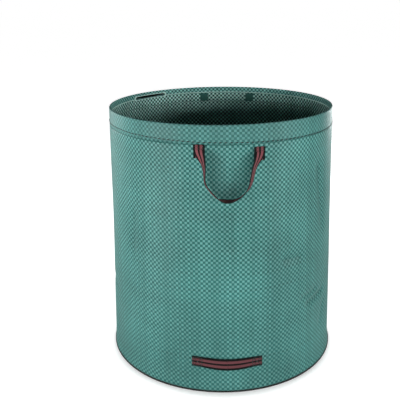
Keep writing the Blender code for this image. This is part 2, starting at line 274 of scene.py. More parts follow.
def tape_cloth(name, light, dark, gap, gloss, fade_below):
    """Plain-woven polyethylene tape.

    Light tapes run up and dark tapes run round, and each cell shows the one on top. Gap is how bright the
    edges of the tapes are, which is painted shade where each tape dips under the next, and gloss is their
    roughness. The fade is two heights, and the shares of the tapes' contrast and of their brightness below
    the first. Both shares grow to the whole up to the second height.
    """
    material, tree, shader = new_finish(name, {"Specular IOR Level": 0.22})
    place = add_node(tree, "UVMap", uv_map=WEAVE_MAP)
    place = add_node(tree, "SeparateXYZ", {0: place})

    # The number of a tape of either kind, how far across it a place is, and its arched section
    tapes = []
    for axis in ("X", "Y"):
        number = add_node(tree, "Math", {0: place.outputs[axis]}, operation="FLOOR")
        across = add_node(tree, "Math", {0: place.outputs[axis]}, operation="FRACT")
        arch = add_node(tree, "Math", {0: across, 1: math.pi}, operation="MULTIPLY")
        arch = add_node(tree, "Math", {0: arch}, operation="SINE")
        tapes.append((number, across, arch))
    (column, across_up, arch_up), (row, across_round, arch_round) = tapes
    over = add_node(tree, "Math", {0: column, 1: row}, operation="ADD")
    over = add_node(tree, "Math", {0: over, 1: 2.0}, operation="FLOORED_MODULO")
    pillow = add_node(tree, "Math", {0: arch_up, 1: arch_round}, operation="MULTIPLY")
    pillow = add_node(tree, "Math", {0: pillow, 1: CELL_FLATNESS}, operation="POWER")

    # Each tape has its own number, which gives it its own shade, and fine lines drawn into it when the film
    # was stretched. The tapes that run round are numbered from 511 up.
    tape = add_node(tree, "Mix", {0: over, 2: column, 3: row}, data_type="FLOAT")
    tape = add_node(tree, "Math", {0: over, 1: 511.0, 2: tape}, operation="MULTIPLY_ADD")
    shade = add_node(tree, "TexWhiteNoise", {"W": tape}, noise_dimensions="1D")
    across = add_node(tree, "Mix", {0: over, 2: across_up, 3: across_round}, data_type="FLOAT")
    lines = {0: across, 1: DRAWN_LINES, 2: tape}
    lines = add_node(tree, "Math", lines, operation="MULTIPLY_ADD")
    lines = {"W": lines, "Scale": 1.0, "Detail": 2.0}
    lines = add_node(tree, "TexNoise", lines, noise_dimensions="1D")
    solid = add_node(tree, "TexCoord").outputs["Object"]
    patches = {"Vector": solid, "Scale": PATCHES_PER_METRE, "Detail": 3.0, "Roughness": 0.6}
    patches = add_node(tree, "TexNoise", patches)
    # The crease mark darkens the cloth along each crease, as painted shade.
    fold = add_node(tree, "Attribute", attribute_name=CREASE_SHADE_MARK).outputs["Fac"]

    # The two greens grow more even, and dimmer, towards the floor.
    height = add_node(tree, "SeparateXYZ", {0: solid})
    low, high, least_contrast, least_value = fade_below
    reach = {"Value": height.outputs["Z"], "From Min": low, "From Max": high}
    contrast = add_node(tree, "MapRange", {**reach, "To Min": least_contrast})
    value = add_node(tree, "MapRange", {**reach, "To Min": least_value})
    share = add_node(tree, "Math", {0: over, 1: 0.5}, operation="SUBTRACT")
    share = add_node(tree, "Math", {0: share, 1: contrast, 2: 0.5}, operation="MULTIPLY_ADD")
    tone = add_node(tree, "Mix", {0: share, 6: colour(light), 7: colour(dark)}, data_type="RGBA")

    # What else changes the brightness, its range, and the brightness at both ends of that range
    # The tapes' edges, where each dips under the next, are darkened with painted shade, and so are the
    # creases.
    for source, first, last, at_first, at_last in (
        (shade.outputs["Value"], 0.0, 1.0, 0.88, 1.10),
        (lines, 0.3, 0.7, 0.90, 1.08),
        (patches, 0.3, 0.7, 0.84, 1.16),
        (fold, 0.0, 1.0, 1.0, 0.72),
        (pillow, 0.25, 0.75, gap, 1.0),
    ):
        share = {"Value": source, "From Min": first, "From Max": last}
        share = add_node(tree, "MapRange", {**share, "To Min": at_first, "To Max": at_last})
        value = add_node(tree, "Math", {0: value, 1: share}, operation="MULTIPLY")
    tone = add_node(tree, "VectorMath", {0: tone.outputs[2], "Scale": value}, operation="SCALE")
    tree.links.new(tone.outputs[0], shader.inputs["Base Color"])
    rough = {"Value": lines, "To Min": gloss - 0.06, "To Max": gloss + 0.08}
    rough = add_node(tree, "MapRange", rough)
    tree.links.new(rough.outputs[0], shader.inputs["Roughness"])
    relief = add_node(tree, "Math", {0: lines, 1: 0.12, 2: pillow}, operation="MULTIPLY_ADD")
    bump = {"Height": relief, "Strength": 0.55, "Distance": WEAVE_RELIEF}
    bump = add_node(tree, "Bump", bump)
    tree.links.new(bump.outputs[0], shader.inputs["Normal"])
    return material


# The cloth's face is satin green film, glossy enough for its edges to catch the light. Its creases are
# darkened with painted shade. Its reverse is duller, with more contrast between its tapes. The real tapes
# are 2 to 3 mm wide, too fine to show, so the weave is drawn as coarse as the photograph shows it.
# The face grows a little flatter and dimmer towards the floor. The reverse grows much darker further down
# inside the bag, which is painted shade. The hem's cloths keep an even tone.
FACE_FADE, BACK_PAINTED_SHADE, UNFADED = (0.05, 0.60, 0.70, 0.92), (0.45, 0.72, 0.54, 0.58), (0.0, 0.5, 1.0, 1.0)
cloth_face = tape_cloth("woven_polyethylene_tape_face", "#66A09A", "#1D605B", 0.84, 0.45, FACE_FADE)
cloth_reverse = tape_cloth("woven_polyethylene_tape_reverse", "#C2F2E9", "#185A53", 0.76, 0.60, BACK_PAINTED_SHADE)

# The creases' two ends as (azimuth in degrees, height), their depth and their half width
CREASES = (
    ((28.0, 0.370), (43.0, 0.367), 0.0065, 0.011),
    ((40.0, 0.238), (56.0, 0.246), 0.0050, 0.009),
    ((44.0, 0.213), (65.0, 0.221), 0.0085, 0.009),
    ((54.0, 0.650), (61.0, 0.395), 0.0050, 0.012),
    ((3.7, 0.550), (4.0, 0.400), 0.0040, 0.018),
    ((-45.5, 0.520), (-48.3, 0.350), 0.0040, 0.013),
    ((66.0, 0.200), (58.0, 0.110), 0.0024, 0.012),
    ((-168.0, 0.320), (-120.0, 0.352), 0.0035, 0.010),
    ((118.0, 0.410), (150.0, 0.372), 0.0035, 0.010),
    ((-96.0, 0.236), (-62.0, 0.214), 0.0026, 0.012),
)
DEEPEST_CREASE = 0.0085
# The waves of slack cloth: their depth, how many there are round the bag, their slant, and their start
WAVES = ((0.0011, 5, 7, 0.6), (0.0008, 9, -11, 0.0), (0.0004, 17, 5, 2.1))
# How far below the hem and above the foot the cloth is held too taut for the full waves and creases
TAUT_BELOW_HEM, TAUT_ABOVE_FOOT = 0.09, 0.05
# Where the carrying handles' ends are sewn on, and the dent in the wall behind each: its depth, half its
# width, the width of its soft sides, its lower end, and the height of its soft ends
HANDLE_AZIMUTH = math.radians(4)
HANDLE_TURNS = {"front": HANDLE_AZIMUTH, "rear": math.pi - HANDLE_AZIMUTH}
FEET_APART = 0.157
FOOT_ANGLE = FEET_APART / 2 / RIM_RADIUS
HANDLE_ENDS = [turn + side * FOOT_ANGLE for turn in HANDLE_TURNS.values() for side in (-1, 1)]
DENT_DEPTH, DENT_HALF_WIDTH, DENT_SIDE, DENT_FOOT, DENT_FADE = 0.0014, 0.040, 0.015, 0.50, 0.05
# The flat place that the tipping strap holds taut: its azimuth and height, and half its width and height
TAUT_AZIMUTH, TAUT_HEIGHT, TAUT_REACH, TAUT_RISE = 0.047, 0.091, 0.11, 0.030


def creased(azimuth, height):
    """How deep the creases of its folding are in the cloth."""
    inset = 0.0
    for (start, low), (end, high), depth, reach in CREASES:
        first = Vector((math.radians(start) * RIM_RADIUS, low))
        step = Vector((math.radians(end) * RIM_RADIUS, high)) - first
        place = Vector((azimuth * RIM_RADIUS, height)) - first
        near = min(max(place.dot(step) / step.length_squared, 0.0), 1.0)
        distance = (place - step * near).length
        taper = smooth(near * 5.0) * smooth((1.0 - near) * 5.0)
        inset += depth * taper * math.exp(-abs(distance / reach) ** 1.4)
    return inset


def slack(azimuth, height):
    """How far the cloth lies inside its full round, by its waves, its creases and the dents."""
    inset = creased(azimuth, height)
    for depth, count, slant, start in WAVES:
        inset += depth * (1 + math.sin(count * azimuth + slant * height + start))
    inset *= smooth((WALL_TOP - height) / TAUT_BELOW_HEM) * smooth(height / TAUT_ABOVE_FOOT)
    for sewn_at in HANDLE_ENDS:
        aside = abs(wrapped(azimuth - sewn_at)) * RIM_RADIUS
        dent = smooth((DENT_HALF_WIDTH - aside) / DENT_SIDE) * smooth((WALL_TOP - height) / DENT_FADE)
        inset += DENT_DEPTH * dent * smooth((height - DENT_FOOT) / DENT_FADE)
    taut = math.exp(-(((azimuth - TAUT_AZIMUTH) * RIM_RADIUS / TAUT_REACH) ** 4))
    taut *= math.exp(-(((height - TAUT_HEIGHT) / TAUT_RISE) ** 4))
    return inset * (1.0 - taut)


heights = [WALL_TOP * i / WALL_ROWS for i in range(WALL_ROWS + 1)]
shape = turned_cloth([(radius_at(height), height, height / TAPE_PITCH) for height in heights], CLOTH_STEPS)
# Each point's crease mark, which the finishes turn into painted shade.
crease_shade_mark = shape.verts.layers.float.new(CREASE_SHADE_MARK)
for point in shape.verts:
    azimuth, height = azimuth_of(point.co), point.co.z
    point.co -= outward(azimuth) * slack(azimuth, height)
    point[crease_shade_mark] = min(creased(azimuth, height) / DEEPEST_CREASE, 1.0)
bmesh.ops.recalc_face_normals(shape, faces=shape.faces)
wall = finish_mesh("bag_wall", shape, [cloth_face, cloth_reverse], "base")
thicken(wall, CLOTH_THICKNESS, reverse=1)
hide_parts("side_wall")
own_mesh(wall)


# Side seam: the wall's two ends are lapped and folded into a band 12 mm wide, with stitches at each side.
# It runs from the binding to the hem at the rear, out of sight from the front.
def two_toned(tree, shader, pattern, dark, light, strength=0.0, depth=0.0):
    """Tones a finish by a pattern, from dark to light, and raises its light parts when given a depth. The
    darker low parts of a raised pattern are painted shade.
    """
    tint = add_node(tree, "Mix", {0: pattern, 6: dark, 7: light}, data_type="RGBA")
    tree.links.new(tint.outputs[2], shader.inputs["Base Color"])
    if depth:
        bump = {"Height": pattern, "Strength": strength, "Distance": depth}
        bump = add_node(tree, "Bump", bump)
        tree.links.new(bump.outputs[0], shader.inputs["Normal"])


def spun_thread(name, tone, sheen):
    """Twisted polyester sewing thread: its plies run round it at a slant, and catch a soft light."""
    material, tree, shader = new_finish(name, {"Roughness": 0.75, "Sheen Weight": sheen})
    place = add_node(tree, "TexCoord").outputs["Object"]
    plies = {"Vector": place, "Scale": 420.0, "Distortion": 2.0}
    plies = add_node(tree, "TexWave", plies, bands_direction="DIAGONAL").outputs["Fac"]
    # The grooves between the plies are darker than the thread: painted shade.
    groove = [share * 0.72 for share in colour(tone)[:3]] + [1.0]
    two_toned(tree, shader, plies, groove, colour(tone), strength=0.3, depth=0.0002)
    return material


def sewn(name, stitches, material, body=None):
    """Stitches, each a middle, a direction, a length, a width and the direction it is pressed flat in."""
    shape = bmesh.new()
    for middle, heading, length, width, flat in stitches:
        forward = Vector(heading).normalized()
        side = forward.cross(flat).normalized()
        turn = Matrix((forward, side, side.cross(forward))).transposed().to_4x4()
        place = Matrix.Translation(middle) @ turn @ Matrix.Diagonal((length / 2, width / 2, width / 3, 1.0))
        bmesh.ops.create_icosphere(shape, subdivisions=1, radius=1.0, matrix=place)
    return finish_mesh(name, shape, [material], body)


dark_thread = spun_thread("dark_polyester_thread", "#101C1A", sheen=0.1)
SEAM_AZIMUTH = math.radians(147)
SEAM_WIDTH, SEAM_FOOT, SEAM_HEAD = 0.012, 0.0050, WALL_TOP - 0.0012
SEAM_SWELL, SEAM_LIFT = 1.1, 0.0001
WEAVE_STEP = 0.37  # of a cell, between the weave of the lap and that of the wall
shape = bmesh.new()
bmesh.ops.create_grid(shape, x_segments=6, y_segments=110, size=0.5)
seam_map = shape.loops.layers.uv.new(WEAVE_MAP)
for point in shape.verts:
    share = point.co.x
    height = SEAM_FOOT + (point.co.y + 0.5) * (SEAM_HEAD - SEAM_FOOT)
    azimuth = SEAM_AZIMUTH + share * SEAM_WIDTH / radius_at(height)
    raised = CLOTH_THICKNESS * (1.0 - (2 * share) ** 8) * SEAM_SWELL - slack(azimuth, height) + SEAM_LIFT
    point.co = wall_point(azimuth, height, raised)
for face in shape.faces:
    for corner in face.loops:
        place = corner.vert.co
        turn = azimuth_of(place) / (2 * math.pi) * TAPES_ROUND
        corner[seam_map].uv = (turn + WEAVE_STEP, place.z / TAPE_PITCH)
bmesh.ops.recalc_face_normals(shape, faces=shape.faces)
if sum(face.normal.dot(outward(SEAM_AZIMUTH)) for face in shape.faces) < 0:
    bmesh.ops.reverse_faces(shape, faces=shape.faces)
seam = finish_mesh("side_seam_band", shape, [cloth_face], "base")
thicken(seam, CLOTH_THICKNESS)
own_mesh(seam)

SEAM_STITCHES, SEAM_STITCH_START, SEAM_STITCH_PITCH, SEAM_STITCH_LINE = 100, 0.010, 0.0069, 0.0042
SEAM_STITCH = (0.0048, 0.0010)
stitches = []
for side in (-SEAM_STITCH_LINE, SEAM_STITCH_LINE):
    for i in range(SEAM_STITCHES):
        height = SEAM_STITCH_START + SEAM_STITCH_PITCH * i
        azimuth = SEAM_AZIMUTH + side / radius_at(height)
        spot = wall_point(azimuth, height, CLOTH_THICKNESS * 1.2 - slack(azimuth, height) + 0.0002)
        stitches.append((spot, (0.0, 0.0, 1.0), *SEAM_STITCH, outward(azimuth)))
seam_stitches = sewn("side_seam_stitches", stitches, dark_thread, "base")
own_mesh(seam_stitches)


# Base: a round of the same cloth, face down, gathered slightly where it is sewn to the foot of the wall.
# Its reverse is what shows inside the bag.
BASE_CLOTH_RADIUS, BASE_CLOTH_HEIGHT, POLE_RADIUS = 0.3439, 0.0004, 0.00005
BASE_STEPS, BASE_RINGS = 192, 40
GATHERS, GATHER_START, GATHER_REACH, GATHER_DEPTH = 31, 0.26, 0.07, 0.0011
SAG_DEPTH, SEWN_RADIUS, SEWN_REACH = 0.0016, 0.335, 0.008
radii = [POLE_RADIUS + (BASE_CLOTH_RADIUS - POLE_RADIUS) * i / BASE_RINGS for i in range(BASE_RINGS + 1)]
shape = turned_cloth([(radius, BASE_CLOTH_HEIGHT, 0.0) for radius in radii], BASE_STEPS)
bmesh.ops.remove_doubles(shape, verts=shape.verts, dist=0.0002)
base_map = shape.loops.layers.uv.verify()
for face in shape.faces:
    for corner in face.loops:
        place = corner.vert.co
        corner[base_map].uv = (place.x / TAPE_PITCH, place.y / TAPE_PITCH)
for point in shape.verts:
    azimuth, distance = azimuth_of(point.co), point.co.xy.length
    gathered = smooth((distance - GATHER_START) / GATHER_REACH)
    loose = 1.0 - smooth((distance - SEWN_RADIUS) / SEWN_REACH)
    puckers = 1 + math.sin(GATHERS * azimuth + 1.3 * math.sin(4 * azimuth))
    puckers *= GATHER_DEPTH * gathered * loose
    sag = SAG_DEPTH * (1 + math.sin(point.co.x * 16 + 1.0) * math.sin(point.co.y * 13 + 0.4)) * loose
    point.co.z = BASE_CLOTH_HEIGHT + puckers + sag
bmesh.ops.recalc_face_normals(shape, faces=shape.faces)
if sum(face.normal.z for face in shape.faces) > 0:
    bmesh.ops.reverse_faces(shape, faces=shape.faces)
base = finish_mesh("bag_base", shape, [cloth_face, cloth_reverse], "base")
thicken(base, CLOTH_THICKNESS, reverse=1)
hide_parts("base_panel")


# Foot binding: a narrow near-black polyester tape, folded over the raw edges of wall and base.
# It is sewn on with one line of stitches and shows as a thin dark line round the foot.
BINDING_IN, BINDING_OUT, BINDING_LOW, BINDING_HIGH, BINDING_ROUND = 0.3452, 0.3465, 0.0003, 0.0056, 0.0004
BINDING_RIBS, BINDING_STEPS = 1440, 240
BINDING_STITCHES, BINDING_STITCH_HEIGHT, BINDING_STITCH = 360, 0.0040, (0.0044, 0.0007)

# Woven polyester tape has fine ribs across it, is matt, and has a faint sheen from its filaments.
MATT_TAPE = {"Roughness": 0.8, "Sheen Weight": 0.15}
binding_tape, tree, shader = new_finish("black_polyester_binding_tape", MATT_TAPE)
place = add_node(tree, "UVMap", uv_map=WEAVE_MAP)
place = add_node(tree, "SeparateXYZ", {0: place})
ribs = add_node(tree, "Math", {0: place.outputs["X"], 1: 2 * math.pi}, operation="MULTIPLY")
ribs = add_node(tree, "Math", {0: ribs}, operation="SINE")
ribs = add_node(tree, "MapRange", {"Value": ribs, "From Min": -1.0})
# The tape is darker between its ribs: painted shade.
two_toned(tree, shader, ribs, colour("#050808"), colour("#0C1413"), strength=0.6, depth=0.0003)

profile = []
for radius, height, first, last in (
    (BINDING_OUT - BINDING_ROUND, BINDING_HIGH - BINDING_ROUND, 90, 0),
    (BINDING_OUT - BINDING_ROUND, BINDING_LOW + BINDING_ROUND, 0, -90),
    (BINDING_IN + BINDING_ROUND, BINDING_LOW + BINDING_ROUND, -90, -180),
    (BINDING_IN + BINDING_ROUND, BINDING_HIGH - BINDING_ROUND, 180, 90),
):
    for i in range(4):
        angle = math.radians(first + (last - first) * i / 3)
        round_x, round_z = BINDING_ROUND * math.cos(angle), BINDING_ROUND * math.sin(angle)
        profile.append((radius + round_x, height + round_z, len(profile) / 16))
profile.append((profile[0][0], profile[0][1], 1.0))
shape = turned_cloth(profile, BINDING_STEPS, cells_round=BINDING_RIBS)
bmesh.ops.recalc_face_normals(shape, faces=shape.faces)
binding = finish_mesh("foot_binding", shape, [binding_tape], "base")
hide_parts("base_binding")
stitches = []
for i in range(BINDING_STITCHES):
    azimuth = 2 * math.pi * i / BINDING_STITCHES
    spot = outward(azimuth) * BINDING_OUT + Vector((0.0, 0.0, BINDING_STITCH_HEIGHT))
    stitches.append((spot, along(azimuth), *BINDING_STITCH, outward(azimuth)))
sewn("binding_stitches", stitches, dark_thread, "base")


# Hoop and its joiner: a flat strip of black polypropylene, bent round, with its ends in a moulded sleeve.
# Both show only through the slot inside the hem. The plastic is near black and waxy, with paler scuffs.
moulded, tree, shader = new_finish("black_polypropylene_moulding", {"Specular IOR Level": 0.12})
place = add_node(tree, "TexCoord").outputs["Object"]
grain = add_node(tree, "TexNoise", {"Vector": place, "Scale": 900.0, "Detail": 3.0})
scuffs = add_node(tree, "TexNoise", {"Vector": place, "Scale": 60.0, "Detail": 5.0})
two_toned(tree, shader, scuffs, colour("#030404"), colour("#090B0B"))
rough = add_node(tree, "MapRange", {"Value": scuffs, "To Min": 0.45, "To Max": 0.65})
tree.links.new(rough.outputs[0], shader.inputs["Roughness"])
bump = add_node(tree, "Bump", {"Height": grain, "Strength": 0.25, "Distance": 0.0001})
tree.links.new(bump.outputs[0], shader.inputs["Normal"])
for name in ("support_hoop", "hoop_joiner"):
    shown_nodes[name].data.materials.clear()
    shown_nodes[name].data.materials.append(moulded)


# Top hem: the wall's top edge, folded inwards over the hoop. Dark stitches hold the fold 51 mm down, and a
# pale line just under the hoop closes its tunnel. Inside, the cloth's duller reverse shows below that line.
BAG_HEIGHT, HEM_BOTTOM, HEM_ROW, HEM_THICKNESS = 0.760, 0.709, 0.0049, 0.0004
TUNNEL_RADIUS, INNER_LAYER = 0.3286, 0.0016
CROWN_RADIUS = (RIM_RADIUS - TUNNEL_RADIUS) / 2
CROWN_MIDDLE = (RIM_RADIUS + TUNNEL_RADIUS) / 2
SLOT_LOW, SLOT_HIGH, SLOT_DEPTH = 0.7395, 0.7500, 0.0012
SLOT_AZIMUTH, SLOT_LENGTH = math.radians(-133), 0.138
HALF_SLOT = SLOT_LENGTH / 2 / RIM_RADIUS

# Up the outside, over the hoop, down past the slot and in under it, and down the inside to the stitches
profile = [(radius_at(HEM_BOTTOM + HEM_ROW * i), HEM_BOTTOM + HEM_ROW * i) for i in range(10)]
for i in range(13):
    angle = math.pi * i / 12
    crown = BAG_HEIGHT - CROWN_RADIUS + CROWN_RADIUS * math.sin(angle)
    profile.append((CROWN_MIDDLE + CROWN_RADIUS * math.cos(angle), crown))
profile += [(TUNNEL_RADIUS, height) for height in (0.7535, 0.7520, SLOT_HIGH, 0.7465, 0.7430)]
profile += [(TUNNEL_RADIUS + 0.0001, SLOT_LOW), (TUNNEL_RADIUS + 0.0022, 0.7388)]
profile += [(RIM_RADIUS - INNER_LAYER, 0.7381)]
inner_heights = (0.7330, 0.7270, 0.7210, 0.7150, HEM_BOTTOM)
profile += [(radius_at(height) - INNER_LAYER, height) for height in inner_heights]
runs = [HEM_BOTTOM / TAPE_PITCH]
for (radius, height), (next_radius, next_height) in zip(profile, profile[1:]):
    runs.append(runs[-1] + math.hypot(next_radius - radius, next_height - height) / TAPE_PITCH)
shape = turned_cloth([(*point, run) for point, run in zip(profile, runs)], CLOTH_STEPS)


def in_slot(face):
    """Whether a face of the hem's inner layer is where the slot is cut."""
    middle = face.calc_center_median()
    inner = middle.xy.length < TUNNEL_RADIUS + SLOT_DEPTH and SLOT_LOW < middle.z < SLOT_HIGH
    return inner and abs(azimuth_of(middle) - SLOT_AZIMUTH) < HALF_SLOT


bmesh.ops.delete(shape, geom=[face for face in shape.faces if in_slot(face)], context="FACES")
bmesh.ops.recalc_face_normals(shape, faces=shape.faces)
outer_radius = RIM_RADIUS - CLOTH_THICKNESS
outer_faces = [face for face in shape.faces if face.calc_center_median().xy.length > outer_radius]
if sum(face.normal.dot(face.calc_center_median()) for face in outer_faces if face.normal.z < 0.5) < 0:
    bmesh.ops.reverse_faces(shape, faces=shape.faces)
for face in shape.faces:
    middle = face.calc_center_median()
    if middle.z < SLOT_LOW and middle.xy.length < radius_at(middle.z) - INNER_LAYER / 2:
        face.material_index = 1
    elif middle.xy.length < CROWN_MIDDLE:
        face.material_index = 2

# Outside, the doubled cloth looks flatter, because no light comes through it. Inside, the tunnel shows the
# cloth's face, painted brighter than elsewhere: painted light on the rim's inner band.
doubled_cloth = tape_cloth("doubled_polyethylene_tape_face", "#5A918C", "#306964", 0.90, 0.45, UNFADED)
painted_light_tunnel_cloth = tape_cloth("hem_tunnel_tape_face_painted_light", "#8ACCC3", "#1D605B", 0.82, 0.45, UNFADED)
hem = finish_mesh("top_hem_cloth", shape, [doubled_cloth, cloth_reverse, painted_light_tunnel_cloth], "rim")
thicken(hem, HEM_THICKNESS)
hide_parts("top_hem")

# The hem's stitches are drawn about three times as thick as the real thread, so that they show. Their line
# rises towards the left, as in the photograph.
HEM_STITCHES, HEM_STITCH_RISE, STITCH_LIFT, STITCH_WANDER = 150, 0.0034, 0.0014, 0.0002
OUTER_STITCH, INNER_STITCH = (0.0098, 0.0030), (0.0098, 0.0012)
OUTER_OFFSET, INNER_OFFSET = 0.0003, -0.0018
stitches = []
for i in range(HEM_STITCHES):
    azimuth = 2 * math.pi * i / HEM_STITCHES
    rise = HEM_STITCH_RISE * (1.0 - math.sin(azimuth)) ** 1.5
    height = HEM_BOTTOM + STITCH_LIFT + STITCH_WANDER * math.sin(11 * azimuth) + rise
    outer_face = wall_point(azimuth, height, OUTER_OFFSET)
    stitches.append((outer_face, along(azimuth), *OUTER_STITCH, outward(azimuth)))
    azimuth += math.pi / HEM_STITCHES
    inner_face = wall_point(azimuth, height, INNER_OFFSET)
    stitches.append((inner_face, along(azimuth), *INNER_STITCH, outward(azimuth)))
hem_stitches = sewn("hem_stitches", stitches, dark_thread, "rim")

# The tunnel's line is a zigzag of pale thread, also drawn thicker than life. It stops short of the slot.
TUNNEL_STITCHES, TUNNEL_STITCH_HEIGHT, TUNNEL_STITCH = 420, 0.7422, (0.0058, 0.0034)
ZIGZAG_SLANT, SLOT_CLEARANCE = 0.45, 0.012
pale_thread = spun_thread("pale_polyester_thread", "#D8FFF6", sheen=0.3)
stitches = []
for i in range(TUNNEL_STITCHES):
    azimuth = 2 * math.pi * i / TUNNEL_STITCHES
    heading = along(azimuth) + Vector((0.0, 0.0, ZIGZAG_SLANT if i % 2 else -ZIGZAG_SLANT))
    spot = outward(azimuth) * (TUNNEL_RADIUS - 0.0002) + Vector((0.0, 0.0, TUNNEL_STITCH_HEIGHT))
    if abs(azimuth - 2 * math.pi - SLOT_AZIMUTH) > HALF_SLOT + SLOT_CLEARANCE:
        stitches.append((spot, heading, *TUNNEL_STITCH, outward(azimuth)))
tunnel_stitches = sewn("tunnel_stitches", stitches, pale_thread, "rim")

# The slot's edge is bound by close pale stitching, laid round it as a cord that is thicker at the ends.
edging, tree, shader = new_finish("pale_buttonhole_stitching", {"Roughness": 0.8})
place = add_node(tree, "TexCoord").outputs["Object"]
bars = {"Vector": place, "Scale": 260.0, "Distortion": 1.0}
bars = add_node(tree, "TexWave", bars).outputs["Fac"]
# The stitching is darker between its bars: painted shade.
two_toned(tree, shader, bars, colour("#C2EAE2"), colour("#DEFFF9"), strength=0.5, depth=0.0003)
EDGING_RADIUS, EDGING_LAP = 0.0017, 0.0008
THICK_END, THIN_SIDE, END_REACH = 1.6, 0.6, 0.004
half_height = (SLOT_HIGH - SLOT_LOW) / 2 + EDGING_LAP
straight = SLOT_LENGTH / 2 - half_height
outline = []
for end in (1, -1):
    for i in range(13):
        angle = math.radians(end * 90 - 180 * i / 12)
        outline.append((end * straight + half_height * math.cos(angle), half_height * math.sin(angle)))
    for i in range(1, 30):
        outline.append((end * straight * (1 - 2 * i / 30), -end * half_height))
edge_curve = bpy.data.curves.new("slot_edging", "CURVE")
edge_curve.dimensions = "3D"
edge_curve.bevel_depth = EDGING_RADIUS
edge_curve.bevel_resolution = 3
line = edge_curve.splines.new("POLY")
line.points.add(len(outline) - 1)
for point, (side, rise) in zip(line.points, outline):
    point.radius = THICK_END if abs(side) > straight - END_REACH else THIN_SIDE
    place = outward(SLOT_AZIMUTH + side / TUNNEL_RADIUS) * (TUNNEL_RADIUS - 0.0001)
    point.co = (place.x, place.y, (SLOT_LOW + SLOT_HIGH) / 2 + rise, 1.0)
line.use_cyclic_u = True
edge_curve.materials.append(edging)
slot_edging = bpy.data.objects.new("slot_edging", edge_curve)
bpy.context.scene.collection.objects.link(slot_edging)
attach(slot_edging, "rim")


# Carrying handles, front and rear: 30 mm polypropylene webbing, black with two red stripes. Each end is
# folded under itself and sewn through the hem, and the loop twists edge-on as it hangs. Square patches of
# close dark stitching inside the hem spread the load.
WEBBING_WIDTH, WEBBING_THICKNESS = 0.030, 0.0022
WEBBING_RIB, WEBBING_YARN, STRIPE_WANDER = 0.0018, 0.0022, 0.0006
WEBBING_BLACK = "#0A0E0E"
WEBBING_MAP = "webbing"


def striped_webbing(name, red):
    """Heavy matt polypropylene webbing, ribbed, black with two red stripes. Its map is in metres."""
    even = {"Roughness": 0.85, "Specular IOR Level": 0.18, "Sheen Weight": 0.04}
    material, tree, shader = new_finish(name, even)
    place = add_node(tree, "UVMap", uv_map=WEBBING_MAP)
    place = add_node(tree, "SeparateXYZ", {0: place})
    across, length = place.outputs["X"], place.outputs["Y"]

    # The stripes' edges wander a little from rib to rib.
    wander = {"W": length, "Scale": 900.0, "Detail": 1.0}
    wander = add_node(tree, "TexNoise", wander, noise_dimensions="1D")
    wander = add_node(tree, "Math", {0: wander, 1: 0.5}, operation="SUBTRACT")
    share = {0: wander, 1: STRIPE_WANDER, 2: across}
    share = add_node(tree, "Math", share, operation="MULTIPLY_ADD")
    share = add_node(tree, "Math", {0: share, 1: WEBBING_WIDTH}, operation="DIVIDE")
    stripes = add_node(tree, "ValToRGB", {0: share})
    ramp = stripes.color_ramp
    ramp.interpolation = "CONSTANT"
    while len(ramp.elements) > 1:
        ramp.elements.remove(ramp.elements[-1])
    ramp.elements[0].position = 0.0
    ramp.elements[0].color = colour(WEBBING_BLACK)
    for start, tone in ((0.19, red), (0.42, "#120E0F"), (0.58, red), (0.81, WEBBING_BLACK)):
        ramp.elements.new(start).color = colour(tone)

    # The ribs and yarns are darker where they sink and lighter where they rise: painted shade and painted
    # highlight.
    turn = 2 * math.pi
    ribs = add_node(tree, "Math", {0: length, 1: turn / WEBBING_RIB}, operation="MULTIPLY")
    yarns = add_node(tree, "Math", {0: across, 1: turn / WEBBING_YARN}, operation="MULTIPLY")
    yarns = add_node(tree, "Math", {0: yarns}, operation="SINE")
    ribs = add_node(tree, "Math", {0: yarns, 1: 1.2, 2: ribs}, operation="MULTIPLY_ADD")
    ribs = add_node(tree, "Math", {0: ribs}, operation="SINE")
    relief = add_node(tree, "Math", {0: ribs, 1: yarns}, operation="ADD")
    value = {"Value": relief, "From Min": -2.0, "From Max": 2.0, "To Min": 0.78, "To Max": 1.15}
    value = add_node(tree, "MapRange", value)
    tone = {0: stripes.outputs["Color"], "Scale": value}
    tone = add_node(tree, "VectorMath", tone, operation="SCALE")
    tree.links.new(tone.outputs[0], shader.inputs["Base Color"])
    bump = add_node(tree, "Bump", {"Height": relief, "Strength": 0.45, "Distance": 0.0003})
    tree.links.new(bump.outputs[0], shader.inputs["Normal"])
    return material


webbing_finish = striped_webbing("striped_polypropylene_webbing", "#864D52")

# The webbing's woven edge is black, hard and a little smoother than its faces.
SMOOTH_YARN = {"Roughness": 0.55, "Specular IOR Level": 0.25}
webbing_edge, tree, shader = new_finish("smooth_webbing_edge", SMOOTH_YARN)
place = add_node(tree, "TexCoord").outputs["Object"]
wear = add_node(tree, "TexNoise", {"Vector": place, "Scale": 220.0, "Detail": 2.0})
two_toned(tree, shader, wear, colour("#070A0A"), colour("#161C1B"))


